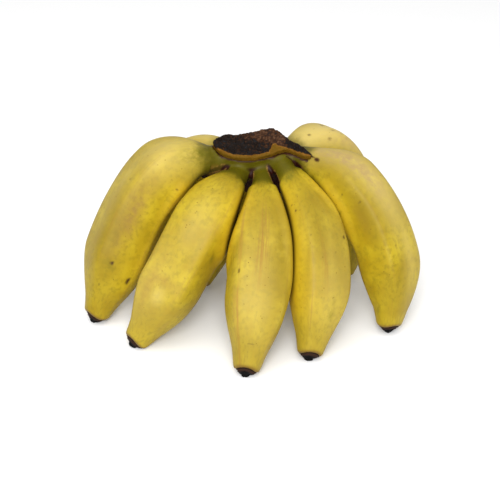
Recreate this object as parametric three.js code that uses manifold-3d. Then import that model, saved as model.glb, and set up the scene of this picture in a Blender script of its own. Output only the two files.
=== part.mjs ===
// A hand of nine apple bananas. It stands on the tips of its fingers, with the crown on top.
// Millimetres, +Z up, the five front fingers towards -Y, the floor at z = 0.
import * as THREE from "three";
import { mergeVertices } from "three/addons/utils/BufferGeometryUtils.js";
import Module from "manifold-3d";

const wasm = await Module();
wasm.setup();

// Sizes that every finger shares.
const END_R = 5.6; // the blunt end of the peel, around the dried flower
const NECK_SHARE = 0.085; // share of a finger's length that belongs to the crown
const TAPER = 0.34; // share of the length over which the peel narrows to its blunt end
const TAPER_POWER = 0.8; // under 1 keeps the end plump
const FLAT_SIDES_DEG = [0, 82, 148, 212, 278]; // where they face, round from the outer side
const EDGE_POWER = 5; // how sharp the lengthwise edges between them are

// A finger leaves the crown at its root and ends at its tip.
// leaves and lands: heading, pitch, and the length over which it keeps that direction.
// heading: 0 is to the front, 90 to the right. pitch: degrees above the horizontal.
// neck and girth: its radius at the root and its greatest one.
// shoulder: share of its length over which the neck swells. turn: degrees by which its flat sides are turned.
const FINGERS = [
  { name: "front_1", root: [-16.5, -3, 80.4], leaves: [-81, 25, 47.5], tip: [-90, -44.8, 0.2],
    lands: [-41, -52, 47], neck: 6, girth: 18.8, shoulder: 0.265, turn: 6 },
  { name: "front_2", root: [-3.5, -3.5, 76], leaves: [-25, 4.5, 50], tip: [-66, -69.2, 0.2],
    lands: [-63.5, -46.5, 49], neck: 4.7, girth: 17.4, shoulder: 0.38, turn: -12 },
  { name: "front_3", root: [7, -4, 77], leaves: [1.5, -7.5, 38.5], tip: [-2.8, -98, 0.2],
    lands: [-19.5, -53, 42.3], neck: 4.2, girth: 17.4, shoulder: 0.445, turn: -9 },
  { name: "front_4", root: [15, -2, 84], leaves: [27, -16.5, 55], tip: [31.7, -83, 0.2],
    lands: [-20, -52, 51.5], neck: 4.8, girth: 16.2, shoulder: 0.54, turn: -8 },
  { name: "front_5", root: [26.5, 1, 84], leaves: [62, -1, 43], tip: [77.6, -55.4, 0.2],
    lands: [-22.5, -63, 44.5], neck: 5.5, girth: 16.6, shoulder: 0.288, turn: 4 },
  { name: "back_1", root: [-7, 8, 80], leaves: [-130, 3, 42], tip: [-58, 3, 0.2], lands: [-14, -60, 42],
    neck: 6, girth: 16.2, shoulder: 0.36, turn: 14 },
  { name: "back_2", root: [0, 10, 79], leaves: [-152, -9, 44], tip: [-33, -9, 0.5], lands: [-38, -52, 43],
    neck: 6, girth: 16.4, shoulder: 0.38, turn: -10 },
  { name: "back_3", root: [9, 11, 78], leaves: [172, -6, 42], tip: [14, 14, 0.2], lands: [5, -60, 42],
    neck: 6, girth: 15.8, shoulder: 0.38, turn: 8 },
  { name: "back_4", root: [17, 7, 78], leaves: [134, 10, 48], tip: [54, -1, 1], lands: [-18, -48, 57],
    neck: 6, girth: 16.7, shoulder: 0.28, turn: -6 },
];

// The dried flower at a finger's end: radius and height along it.
const FLOWER_PROFILE = [[0, 0], [5.2, 0], [5.4, 1.2], [4.7, 3], [3.4, 5.2], [0, 6]];
const FLOWER_LENGTH = 6;

// The slice of the bunch's stalk on top, from its left end round the front.
// Each corner is along the slice and up its slope.
const STALK_CORNERS = [
  [-21, 0], [-13, -8], [0, -10], [11, -7.5], [20, -4], [31, -9], [34, -7], [22, 3.5], [14, 11], [6, 10], [-3, 7.5],
  [-15, 6]];
const STALK_TILT = 25; // towards the front
const STALK_AT = [0, -3, 90.5]; // the middle of its underside
const STALK_THICKNESS = 5;
const STALK_ROUNDING = 1;

// The crown under it: a pedestal of the same outline, and a cushion that the necks grow out of.
const PEDESTAL_DEPTH = 9;
const CUSHION_AT = [6, 5, 79];
const CUSHION_HALF = [21, 10, 11];

const JOINT_GAP = 0.3; // between pieces that grew together
const PRESS_GAP = 0.7; // between fingers that lie against each other
const PRESS_SOFTNESS = 1.2; // rounding where a pressed side begins

const RINGS = 22;
const SIDES = 18;
const CENTRE_STEPS = 60;

const peel = new THREE.MeshStandardMaterial({ color: 0xd2b23c, roughness: 0.45, metalness: 0 });
const greenPeel = new THREE.MeshStandardMaterial({ color: 0x8c8420, roughness: 0.5, metalness: 0 });
const driedStalk = new THREE.MeshStandardMaterial({ color: 0x33221b, roughness: 0.9, metalness: 0 });
const driedFlower = new THREE.MeshStandardMaterial({ color: 0x35221c, roughness: 0.9, metalness: 0 });

const hand = new THREE.Group();

function add(name, geometry, material) {
  const mesh = new THREE.Mesh(geometry, material);
  mesh.name = name;
  hand.add(mesh);
}

const clamp01 = (x) => Math.min(1, Math.max(0, x));
const smoothstep = (x) => clamp01(x) ** 2 * (3 - 2 * clamp01(x));

function direction(heading, pitch) {
  const h = THREE.MathUtils.degToRad(heading);
  const p = THREE.MathUtils.degToRad(pitch);
  return new THREE.Vector3(Math.sin(h) * Math.cos(p), -Math.cos(h) * Math.cos(p), Math.sin(p));
}

// The mean radius at a share s of the finger's length, before its neighbours press on it.
function radiusAt(finger, s) {
  const swell = smoothstep(s / finger.shoulder) * smoothstep(((1 - s) / TAPER) ** TAPER_POWER);
  const slim = finger.neck + (END_R - finger.neck) * s;
  return slim + (finger.girth - slim) * swell;
}

// The section: round at both ends, five-sided with rounded edges in between. 1 on average.
function sectionAt(finger, s, angle) {
  const sum = FLAT_SIDES_DEG.reduce(
    (total, side) => total + Math.max(0, Math.cos(angle - THREE.MathUtils.degToRad(side + finger.turn))) ** EDGE_POWER,
    0);
  const fade = smoothstep(s / finger.shoulder) * smoothstep((1 - s) / TAPER);
  return 1 + (sum ** (-1 / EDGE_POWER) - 1.04) * fade;
}

// The centre line: places along it with an outer side that doesn't twist.
function layCentre(finger) {
  const root = new THREE.Vector3(...finger.root);
  const tip = new THREE.Vector3(...finger.tip);
  const [heading, pitch, reach] = finger.leaves;
  const [endHeading, endPitch, endReach] = finger.lands;
  const curve = new THREE.CubicBezierCurve3(
    root, root.clone().addScaledVector(direction(heading, pitch), reach),
    tip.clone().addScaledVector(direction(endHeading, endPitch), -endReach), tip);
  finger.length = curve.getLength();
  finger.stations = [];
  let outer = new THREE.Vector3(0, 0, 1);
  for (let i = 0; i <= CENTRE_STEPS; i++) {
    const s = i / CENTRE_STEPS;
    const along = curve.getTangentAt(s);
    outer = outer.clone().addScaledVector(along, -outer.dot(along)).normalize();
    const side = new THREE.Vector3().crossVectors(along, outer);
    finger.stations.push({ at: curve.getPointAt(s), along, outer, side, radius: radiusAt(finger, s) });
  }
}

FINGERS.forEach(layCentre);

function stationAt(finger, s) {
  const x = clamp01(s) * CENTRE_STEPS;
  const i = Math.min(CENTRE_STEPS - 1, Math.floor(x));
  const between = (key) => finger.stations[i][key].clone().lerp(finger.stations[i + 1][key], x - i);
  return {
    at: between("at"), along: between("along").normalize(),
    outer: between("outer").normalize(), side: between("side").normalize() };
}

function distanceToSkin(finger, point) {
  return Math.min(...finger.stations.map((station) => point.distanceTo(station.at) - station.radius));
}

// How far along a ray the skin lies: as far as wanted, or halfway to the neighbour's skin.
function pressed(finger, centre, ray, wanted, own) {
  const clear = (reach) => {
    const point = centre.clone().addScaledVector(ray, reach);
    const room = reach - own + PRESS_GAP;
    return FINGERS.every((other) => other === finger || distanceToSkin(other, point) >= room);
  };
  let high = wanted + PRESS_SOFTNESS;
  if (clear(high)) return wanted;
  let low = 0;
  for (let i = 0; i < 9; i++) {
    const middle = (low + high) / 2;
    if (clear(middle)) low = middle;
    else high = middle;
  }
  const share = clamp01(0.5 + (low - wanted) / (2 * PRESS_SOFTNESS));
  return low + (wanted - low) * share - PRESS_SOFTNESS * share * (1 - share);
}

// A straight spindle, bent and swelled onto a stretch of a finger.
function stretchOf(finger, from, to, rings, grow = 0) {
  const profile = [new THREE.Vector2(0, 0)];
  for (let i = 0; i <= rings; i++) profile.push(new THREE.Vector2(1, i / rings));
  profile.push(new THREE.Vector2(0, 1));
  const spindle = new THREE.LatheGeometry(profile, SIDES);
  const place = spindle.getAttribute("position");
  for (let i = 0; i < place.count; i++) {
    const s = from + (to - from) * place.getY(i);
    const angle = Math.atan2(place.getX(i), place.getZ(i));
    const rim = Math.min(1, Math.hypot(place.getX(i), place.getZ(i)));
    const { at, outer, side } = stationAt(finger, s);
    const ray = outer.multiplyScalar(Math.cos(angle)).addScaledVector(side, Math.sin(angle));
    const own = radiusAt(finger, s);
    const reach = pressed(finger, at, ray, own * sectionAt(finger, s, angle), own) + grow;
    at.addScaledVector(ray, reach * rim);
    place.setXYZ(i, at.x, at.y, at.z);
  }
  return weld(spindle);
}

function weld(geometry) {
  const bare = geometry.clone();
  bare.deleteAttribute("normal");
  bare.deleteAttribute("uv");
  return mergeVertices(bare, 1e-3);
}

function solidOf(geometry) {
  const welded = weld(geometry);
  const vertProperties = new Float32Array(welded.getAttribute("position").array);
  const triVerts = new Uint32Array(welded.getIndex().array);
  return new wasm.Manifold(new wasm.Mesh({ numProp: 3, vertProperties, triVerts }));
}

function geometryOf(solid) {
  const { vertProperties, triVerts } = solid.getMesh();
  const geometry = new THREE.BufferGeometry();
  geometry.setAttribute("position", new THREE.BufferAttribute(new Float32Array(vertProperties), 3));
  geometry.setIndex(new THREE.BufferAttribute(new Uint32Array(triVerts), 1));
  return geometry;
}

// A board of the stalk's outline, from one height to another above the stalk's underside.
const stalkEdge = new THREE.CatmullRomCurve3(STALK_CORNERS.map(([u, v]) => new THREE.Vector3(u, v, 0)), true);
function boardOf(from, to) {
  const outline = new THREE.Shape(stalkEdge.getPoints(STALK_CORNERS.length * 3).slice(1));
  const board = new THREE.ExtrudeGeometry(outline, {
    depth: to - from - 2 * STALK_ROUNDING, bevelThickness: STALK_ROUNDING, bevelSize: STALK_ROUNDING,
    bevelOffset: -STALK_ROUNDING, bevelSegments: 1 });
  board.translate(0, 0, from + STALK_ROUNDING);
  board.rotateX(THREE.MathUtils.degToRad(STALK_TILT));
  board.translate(...STALK_AT);
  return solidOf(board);
}
let stalk = boardOf(0, STALK_THICKNESS);

const cushion = new THREE.SphereGeometry(1, 20, 10);
cushion.scale(...CUSHION_HALF);
cushion.translate(...CUSHION_AT);
let crown = solidOf(cushion).add(boardOf(-PEDESTAL_DEPTH, 0));
for (const finger of FINGERS) {
  crown = crown.add(solidOf(stretchOf(finger, 0, NECK_SHARE - JOINT_GAP / finger.length, 2)));
}

// The stalk's underside parts it from the crown.
const stalkUp = new THREE.Vector3(0, 0, 1).applyAxisAngle(
  new THREE.Vector3(1, 0, 0), THREE.MathUtils.degToRad(STALK_TILT));
const crownTop = stalkUp.dot(new THREE.Vector3(...STALK_AT)) - JOINT_GAP;
crown = crown.trimByPlane(stalkUp.clone().negate().toArray(), -crownTop);

// Neither of them touches a finger.
for (const finger of FINGERS) {
  const room = solidOf(stretchOf(finger, NECK_SHARE - JOINT_GAP / finger.length, 0.4, 5, JOINT_GAP));
  crown = crown.subtract(room);
  stalk = stalk.subtract(room);
}
const largestOf = (solid) => solid.decompose().reduce((a, b) => (b.volume() > a.volume() ? b : a));
add("crown", geometryOf(largestOf(crown)), greenPeel);
add("cut_stalk", geometryOf(largestOf(stalk)), driedStalk);

for (const finger of FINGERS) {
  const peelEnd = 1 - FLOWER_LENGTH / finger.length;
  add("finger_" + finger.name, stretchOf(finger, NECK_SHARE, peelEnd, RINGS), peel);

  const { at, along } = stationAt(finger, peelEnd + JOINT_GAP / finger.length);
  const flower = new THREE.LatheGeometry(FLOWER_PROFILE.map(([r, h]) => new THREE.Vector2(r, h)), 12);
  flower.applyQuaternion(new THREE.Quaternion().setFromUnitVectors(new THREE.Vector3(0, 1, 0), along));
  flower.translate(at.x, at.y, at.z);
  const standing = solidOf(flower).trimByPlane([0, 0, 1], 0);
  add("dried_flower_" + finger.name, geometryOf(standing), driedFlower);
}

// The middle of the footprint becomes the origin.
const box = new THREE.Box3().setFromObject(hand);
hand.position.set(-(box.min.x + box.max.x) / 2, -(box.min.y + box.max.y) / 2, 0);

export default hand;
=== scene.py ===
from itertools import product

import bpy
import numpy as np
from bpy.props import FloatProperty, FloatVectorProperty, IntProperty, PointerProperty
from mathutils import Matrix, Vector


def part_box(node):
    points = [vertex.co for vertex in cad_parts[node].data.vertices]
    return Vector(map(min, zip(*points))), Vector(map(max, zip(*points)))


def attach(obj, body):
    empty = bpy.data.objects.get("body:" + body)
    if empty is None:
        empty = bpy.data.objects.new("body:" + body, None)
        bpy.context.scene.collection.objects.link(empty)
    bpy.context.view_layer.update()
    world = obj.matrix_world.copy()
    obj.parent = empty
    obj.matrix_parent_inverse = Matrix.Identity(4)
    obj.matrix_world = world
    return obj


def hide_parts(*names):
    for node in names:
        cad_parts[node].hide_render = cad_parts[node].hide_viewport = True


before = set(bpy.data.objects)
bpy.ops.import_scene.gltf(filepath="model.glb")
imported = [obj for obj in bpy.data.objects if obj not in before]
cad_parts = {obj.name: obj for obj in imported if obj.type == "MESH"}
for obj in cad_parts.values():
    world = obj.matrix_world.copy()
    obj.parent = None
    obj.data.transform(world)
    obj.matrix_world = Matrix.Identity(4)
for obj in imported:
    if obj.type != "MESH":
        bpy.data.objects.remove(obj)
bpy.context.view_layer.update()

bl_info = {
    "name": "Apple Banana Hand",
    "version": (1, 0, 0),
    "blender": (4, 5, 0),
    "location": "3D View > Sidebar > Bananas",
    "description": "Dresses a hand of nine apple bananas: peels, crown, cut stalk and dried flowers",
    "category": "Add Mesh",
}

MM = 0.001

# Sizes that every finger shares, in millimetres, shares of a finger's length and degrees.
END_RADIUS = 5.6
TAPER = 0.34
TAPER_POWER = 0.8
FLAT_SIDES = (0, 82, 148, 212, 278)
EDGES = (41, 115, 180, 245, 319)
EDGE_POWER = 5
FLOWER_LENGTH = 6
NECK_END = 0.16  # share of a finger's length where the crown's skin has gone under the peel
STATIONS = 60
PATTERN_STEP = 200
PEEL_FROM = 0.06

# From the point that the sizes below are measured from to the middle of the footprint.
FOOTPRINT = np.array([-0.054375, 23.897720, 0.0])

# A finger leaves the crown at its root and stands on its tip.
# leaves and lands: heading, pitch, and the length over which it keeps that direction.
# heading: 0 is to the front, 90 to the right. pitch: degrees above the horizontal.
# neck and girth: its radius at the root and its greatest one. shoulder: share over which it swells.
# turn: degrees by which its five sides are turned round the centre line.
# green_to: share where its green ends.
# marks: kind, share of the length, degrees round from the outer side, length and width in mm, strength.
# Marks of darker, browner yellow are painted shade on shaded sides and near the ends.
FINGERS = {
    "front_1": {
        "root": (-16.5, -3, 80.4), "leaves": (-81, 25, 47.5), "tip": (-90, -44.8, 0.2),
        "lands": (-41, -52, 47),
        "neck": 6, "girth": 18.8, "shoulder": 0.265, "turn": 6, "green_to": 0.145,
        "marks": (
            ("bruise", 0.471, -55, 32, 9, 0.9), ("bruise", 0.578, -52, 22, 7, 0.6),
            ("pale_and_sheen", 0.338, -6, 70, 20, 0.35), ("pale_and_sheen", 0.21, -22, 26, 26, 0.6),
            ("green", 0.109, -43, 9, 5, 1),
            ("green", 0.134, -52, 12, 8, 0.6), ("green", 0.598, -44, 14, 5, 0.3),
            # The olive-brown mark on the flank facing front_2 is painted shade with rub brown.
            ("flank_brown_and_shade", 0.11, -128, 22, 7, 0.9), ("painted_shade", 0.62, -28, 60, 16, 0.5),
            ("scar", 0.304, -37, 0.9, 0.7, 0.7), ("scar", 0.36, -23, 1, 0.8, 0.5),
            ("scar", 0.295, -89, 1.4, 0.5, 0.8), ("scar", 0.267, -96, 1.6, 0.5, 0.7),
            ("scar", 0.256, -76, 0.9, 0.9, 0.5), ("scar", 0.7, -57, 2.2, 1.6, 1),
            ("green", 0.718, -53, 7, 5, 0.5), ("scar", 0.759, -99, 4.4, 1.8, 1),
            ("scar", 0.816, -45, 1.8, 0.6, 0.5), ("scar", 0.748, -27, 2.6, 0.5, 0.4),
            ("green", 0.698, 8, 3, 2, 0.5)),
    },
    "front_2": {
        "root": (-3.5, -3.5, 76), "leaves": (-25, 4.5, 50), "tip": (-66, -69.2, 0.2),
        "lands": (-63.5, -46.5, 49),
        "neck": 4.7, "girth": 17.4, "shoulder": 0.38, "turn": -12, "green_to": 0.19,
        "marks": (
            ("bruise", 0.7, 8, 20, 5, 0.6), ("bruise", 0.652, -10, 5, 13, 0.6),
            ("pale_and_sheen", 0.72, -16, 13, 10, 0.5), ("green", 0.489, -79, 4, 3, 0.8),
            ("scar", 0.265, -27, 0.8, 0.8, 0.6), ("scar", 0.45, 2, 0.8, 0.6, 0.4),
            ("scar", 0.55, 2, 0.9, 0.9, 0.5), ("bruise", 0.821, -69, 7, 2, 0.5),
            ("pale_and_sheen", 0.416, -18, 30, 14, 0.3), ("pale_and_sheen", 0.7, 6, 52, 26, 0.3),
            ("painted_shade", 0.864, -25, 20, 16, 0.35)),
    },
    "front_3": {
        "root": (7, -4, 77), "leaves": (1.5, -7.5, 38.5), "tip": (-2.8, -98, 0.2),
        "lands": (-19.5, -53, 42.3),
        "neck": 4.2, "girth": 17.4, "shoulder": 0.445, "turn": -9, "green_to": 0.185,
        "marks": (
            ("streak", 0.446, -5, 30, 6, 1), ("scar", 0.575, 32, 2.2, 1, 0.8),
            ("scar", 0.801, 37, 8, 0.6, 0.5), ("scar", 0.862, -3, 0.6, 3.4, 0.4),
            ("scar", 0.862, -67, 2.2, 0.8, 0.5), ("scar", 0.504, 40, 1, 0.8, 0.4),
            ("green", 0.129, 24, 5, 4, 0.8), ("streak", 0.72, 33, 60, 2, 1),
            ("pale_and_sheen", 0.66, -4, 60, 24, 0.35),
            ("painted_shade", 0.475, -38, 60, 12, 0.75), ("painted_shade", 0.4, 7, 30, 14, 0.35),
            ("painted_shade", 0.891, 13, 16, 16, 0.5)),
    },
    "front_4": {
        "root": (15, -2, 84), "leaves": (27, -16.5, 55), "tip": (31.7, -83, 0.2), "lands": (-20, -52, 51.5),
        "neck": 4.8, "girth": 16.2, "shoulder": 0.54, "turn": -8, "green_to": 0.19,
        "marks": (
            ("scar", 0.342, 48, 1.2, 1.2, 0.8), ("scar", 0.31, 54, 0.9, 0.9, 0.6),
            ("scar", 0.256, -48, 1.2, 1.2, 0.8), ("scar", 0.348, 40, 1, 0.7, 0.5),
            ("scar", 0.482, -41, 1.8, 1.2, 0.9), ("scar", 0.54, -37, 26, 0.5, 0.5),
            ("green", 0.791, -14, 12, 3, 0.5), ("scar", 0.461, 29, 0.9, 0.7, 0.4),
            ("scar", 0.497, 21, 1, 0.7, 0.4), ("scar", 0.536, -15, 1, 0.7, 0.5),
            ("green", 0.168, 34, 6, 6, 0.9), ("streak", 0.563, 9, 26, 3, 0.6),
            ("pale_and_sheen", 0.66, -12, 56, 22, 0.35),
            ("painted_shade", 0.42, 15, 36, 14, 0.6), ("painted_shade", 0.53, -24, 40, 10, 0.5),
            ("painted_shade", 0.89, 39, 16, 16, 0.5)),
    },
    "front_5": {
        "root": (26.5, 1, 84), "leaves": (62, -1, 43), "tip": (77.6, -55.4, 0.2), "lands": (-22.5, -63, 44.5),
        "neck": 5.5, "girth": 16.6, "shoulder": 0.288, "turn": 4, "green_to": 0.12,
        "marks": (
            ("graze", 0.233, 8, 34, 11, 1), ("graze", 0.326, -3, 16, 8, 0.7), ("pale_and_sheen", 0.296, 0, 60, 18, 0.7),
            ("scar", 0.091, 45, 5, 0.9, 1), ("scar", 0.122, 49, 3.4, 2.2, 1),
            ("bruise", 0.448, 68, 16, 5, 0.35), ("scar", 0.385, 56, 1.3, 1.2, 0.5),
            ("scar", 0.312, 74, 1, 0.9, 0.5), ("scar", 0.606, 28, 1.2, 0.8, 0.6),
            ("green", 0.889, 95, 3, 2, 0.9), ("green", 0.373, 103, 4, 3, 0.6),
            ("pale_and_sheen", 0.617, -4, 60, 10, 0.4),
            ("pale_and_sheen", 0.6, -40, 60, 22, 0.3),
            ("painted_shade", 0.38, 55, 50, 10, 0.7), ("painted_shade", 0.8, 40, 26, 14, 0.4)),
    },
    "back_1": {
        "root": (-7, 8, 80), "leaves": (-130, 3, 42), "tip": (-58, 3, 0.2), "lands": (-14, -60, 42),
        "neck": 6, "girth": 16.2, "shoulder": 0.36, "turn": 14, "green_to": 0.16,
        "marks": (
            ("scar", 0.194, 8, 2.6, 1.2, 1.0), ("pale_and_sheen", 0.2, 0, 40, 16, 0.7), ("bruise", 0.5, 20, 18, 6, 0.5),
            ("scar", 0.6, -30, 2, 1, 0.7), ("scar", 0.42, 60, 1.4, 1, 0.6)),
    },
    "back_2": {
        "root": (0, 10, 79), "leaves": (-152, -9, 44), "tip": (-33, -9, 0.5), "lands": (-38, -52, 43),
        "neck": 6, "girth": 16.4, "shoulder": 0.38, "turn": -10, "green_to": 0.19,
        "marks": (
            ("bruise", 0.45, 10, 24, 5, 0.6), ("scar", 0.62, 24, 3, 1, 0.7), ("green", 0.3, -20, 8, 5, 0.6),
            ("scar", 0.36, -40, 1.2, 1, 0.6)),
    },
    "back_3": {
        "root": (9, 11, 78), "leaves": (172, -6, 42), "tip": (14, 14, 0.2), "lands": (5, -60, 42),
        "neck": 6, "girth": 15.8, "shoulder": 0.38, "turn": 8, "green_to": 0.19,
        "marks": (
            ("streak", 0.5, 0, 26, 5, 0.8), ("scar", 0.4, 34, 1.4, 1, 0.7), ("scar", 0.7, -14, 2.4, 0.9, 0.7),
            ("pale_and_sheen", 0.6, -20, 30, 8, 0.4)),
    },
    "back_4": {
        "root": (17, 7, 78), "leaves": (134, 10, 48), "tip": (54, -1, 1), "lands": (-18, -48, 57),
        "neck": 6, "girth": 16.7, "shoulder": 0.28, "turn": -6, "green_to": 0.14,
        "marks": (
            ("pale_and_sheen", 0.24, 14, 46, 22, 1.0), ("scar", 0.235, -8, 1.2, 4, 0.6),
            ("scar", 0.149, 22, 1.3, 1.6, 0.7),
            ("scar", 0.24, 26, 1.6, 1.0, 0.6), ("scar", 0.217, 46, 1.6, 1.4, 0.5),
            ("graze", 0.3, 40, 18, 8, 0.5),
            ("bruise", 0.5, 0, 20, 7, 0.4)),
    },
}
MARKS = ("pale_and_sheen", "bruise", "streak", "graze", "green", "painted_shade", "flank_brown_and_shade", "scar")

# The slice of the bunch's stalk: its outline along the slice and up its slope, in millimetres.
STALK_CORNERS = (
    (-21, 0), (-13, -8), (0, -10), (11, -7.5), (20, -4), (31, -9), (34, -7), (22, 3.5), (14, 11), (6, 10),
    (-3, 7.5), (-15, 6))
STALK_TILT = 25
STALK_AT = np.array([0.0, -3.0, 90.5])
STALK_THICKNESS = 5.0
PEDESTAL_DEPTH = 5.5
CUSHION_AT = np.array([6.0, 5.0, 79.0])
CUSHION_HALF = np.array([21.0, 10.0, 11.0])
# Webs fill the room between the two rows, behind the necks: middle, half sizes and fillet.
WEBS = (
    ((9.0, 2.5, 69.0), (16.0, 6.0, 14.0), 4),
    ((-17.0, 1.5, 74.0), (13.0, 6.0, 7.0), 2),
    ((27.0, 2.5, 75.0), (10.0, 6.5, 8.0), 2))
# Folds between necks, where painted shade with rub stain or brown goes: two ends, the radius in millimetres
# and the kind of mark inside.
FOLDS = (
    ("rub_and_shade", (20.6, -7.8, 87.3), (25.0, -8.6, 84.4), 0.5),
    ("rub_and_shade", (24.6, -8.4, 84.6), (29.6, -9.4, 80.8), 1.1),
    ("rub_and_shade", (-12.5, -10.3, 81.5), (-17.6, -8.7, 77.4), 1.2),
    ("rub_and_shade", (-17.6, -8.7, 77.4), (-25.0, -6.0, 74.0), 1.6),
    ("flank_brown_and_shade", (-15.0, -9.6, 81.6), (-26.0, -12.0, 78.2), 1.8))
# Three corners of the line where the crust stops, on the slice.
PATCH = ((9.5, -8.5), (12.5, 0.8), (20.5, -2.7))
JOINT_GAP = 0.3

# A dried flower from its lip to its tip: radius and height, in millimetres.
FLOWER_PROFILE = (
    (5.3, -0.5), (5.65, 0.0), (5.6, 0.35), (5.2, 0.6), (4.8, 0.85), (4.6, 1.3), (4.5, 1.6), (3.9, 1.9),
    (3.2, 2.4), (2.6, 3.1), (2.1, 3.8), (1.5, 4.5), (0.6, 4.9))
FLOWER_TOP = 4.9
FLOWER_REACH = 6.1  # how far the tip stands past the end of its finger's solid

# The camera, in millimetres and degrees.
CAMERA_AIM = (0.0, -38.0, 44.0)
CAMERA_DISTANCE = 700
CAMERA_HEIGHT = 30
LENS, SENSOR = 90, 36

# Hollows stay open this far from the middle of the crown. Further out, the front fingers swell sideways.
CROWN_MIDDLE = np.array([6.0, 0.0, 80.0])
HOLLOW_REACH = 25.0

# Sockets of a colour Mix node.
FACTOR, FIRST, SECOND, MIXED = 0, 6, 7, 2


def smooth(x):
    """0 to 1 with soft ends."""
    x = np.clip(x, 0.0, 1.0)
    return x * x * (3.0 - 2.0 * x)


def unevenness(points, size, seed):
    """Soft hills and hollows from -1 to 1, about `size` apart."""
    lattice = np.random.default_rng(seed).uniform(-1.0, 1.0, (32, 32, 32))
    place = np.asarray(points) / size + 64.0
    cell = np.floor(place).astype(int)
    part = smooth(place - cell)
    total = np.zeros(place.shape[:-1])
    for corner in product((0, 1), repeat=3):
        share = np.prod(np.where(np.array(corner) == 1, part, 1.0 - part), axis=-1)
        x, y, z = np.moveaxis((cell + corner) % 32, -1, 0)
        total += share * lattice[x, y, z]
    return total


def direction(heading, pitch):
    h, p = np.radians(heading), np.radians(pitch)
    return np.array([np.sin(h) * np.cos(p), -np.cos(h) * np.cos(p), np.sin(p)])


def arch(angle):
    """How far past its solid a peel ends, in millimetres: furthest at its two sides."""
    return 1.2 + 1.6 * np.sin(angle) ** 2


def unit(vectors):
    return vectors / np.linalg.norm(vectors, axis=-1, keepdims=True)


class Finger:
    """A finger's centre line and its section at any place along it, in millimetres."""

    def __init__(self, number, name, shape):
        self.number, self.name = number, name
        self.neck, self.girth = shape["neck"], shape["girth"]
        self.shoulder, self.turn, self.green_to = shape["shoulder"], shape["turn"], shape["green_to"]
        self.marks = shape["marks"]
        root, tip = np.array(shape["root"], float), np.array(shape["tip"], float)
        leave_heading, leave_pitch, leave_reach = shape["leaves"]
        land_heading, land_pitch, land_reach = shape["lands"]
        second = root + leave_reach * direction(leave_heading, leave_pitch)
        third = tip - land_reach * direction(land_heading, land_pitch)
        u = np.linspace(0, 1, 4001)[:, None]
        path = (
            (1 - u) ** 3 * root + 3 * (1 - u) ** 2 * u * second
            + 3 * (1 - u) * u * u * third + u ** 3 * tip)
        run = np.concatenate([[0], np.cumsum(np.linalg.norm(np.diff(path, axis=0), axis=1))])
        self.length = run[-1]
        self.shares = np.linspace(0, 1, STATIONS + 1)
        self.at = self._along_run(path, run) + FOOTPRINT
        self.along = unit(self._along_run(np.gradient(path, run, axis=0), run))
        outer, outers = np.array([0.0, 0.0, 1.0]), []
        for along in self.along:
            outer = unit(outer - outer @ along * along)
            outers.append(outer)
        self.outer = np.array(outers)
        self.peel_end = 1 - FLOWER_LENGTH / self.length

    def _along_run(self, values, run):
        return np.stack([np.interp(self.shares * run[-1], run, values[:, k]) for k in range(3)], axis=1)

    def places(self, s):
        """The centre, the direction along, the outer side and the left side at shares s."""
        centre, along, outer = (
            np.stack([np.interp(s, self.shares, values[:, k]) for k in range(3)], axis=-1)
            for values in (self.at, self.along, self.outer))
        along = unit(along)
        outer = unit(outer - (outer * along).sum(-1, keepdims=True) * along)
        return centre, along, outer, np.cross(along, outer)

    def radius(self, s):
        slim = self.neck + (END_RADIUS - self.neck) * s
        swell = smooth(s / self.shoulder) * smooth((np.clip(1 - s, 0, 1) / TAPER) ** TAPER_POWER)
        return slim + (self.girth - slim) * swell

    def section(self, s, angle):
        """Five soft sides. 1 on average."""
        total = sum(
            np.maximum(0, np.cos(angle - np.radians(side + self.turn))) ** EDGE_POWER for side in FLAT_SIDES)
        fade = smooth(s / self.shoulder) * smooth((1 - s) / TAPER)
        return 1 + (total ** (-1 / EDGE_POWER) - 1.04) * fade

    def edge(self, angle, width):
        """1 along the five edges, fading over `width` degrees."""
        away = [np.degrees(np.arccos(np.clip(np.cos(angle - np.radians(e + self.turn)), -1,
            1))) for e in EDGES]
        return np.exp(-(np.min(away, axis=0) / width) ** 2)

    def straight(self, s, angle):
        """Where a place on the skin would be if the finger were straight, in millimetres."""
        s, angle = np.broadcast_arrays(s, angle)
        return np.stack([self.girth * np.cos(angle), self.girth * np.sin(angle), s * self.length], axis=-1)

    def pattern_place(self, s, angle):
        """The same, moved so that no two fingers get the same part of a pattern."""
        return self.straight(s, angle) + PATTERN_STEP * (1 + self.number)

    def mark(self, kind, s, angle):
        """How strongly a kind of mark covers a place on the skin, from 0 to 1."""
        cover = np.zeros(np.broadcast(s, angle).shape)
        radius = self.radius(s)
        for mark, share, degrees, length, width, strength in self.marks:
            if mark != kind:
                continue
            turn = np.angle(np.exp(1j * (angle - np.radians(degrees))))
            far = np.hypot((s - share) * self.length / (length / 2), turn * radius / (width / 2))
            soft = 0.5 if kind == "scar" else 1.2
            cover = np.maximum(cover, strength * smooth(1 + (1 - far) / soft / 2 - 0.5))
        return cover


fingers = {name: Finger(number, name, shape) for number, (name, shape) in enumerate(FINGERS.items())}


def to_skin(points, centres, radii):
    """Distance from each point to the nearest of many balls."""
    flat = points.reshape(-1, 3)
    nearest = np.empty(len(flat))
    for start in range(0, len(flat), 20000):
        some = flat[start:start + 20000]
        square = (some ** 2).sum(1)[:, None] + (centres ** 2).sum(1) - 2 * some @ centres.T
        nearest[start:start + 20000] = (np.sqrt(np.maximum(square, 0)) - radii).min(1)
    return nearest.reshape(points.shape[:-1])


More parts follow.
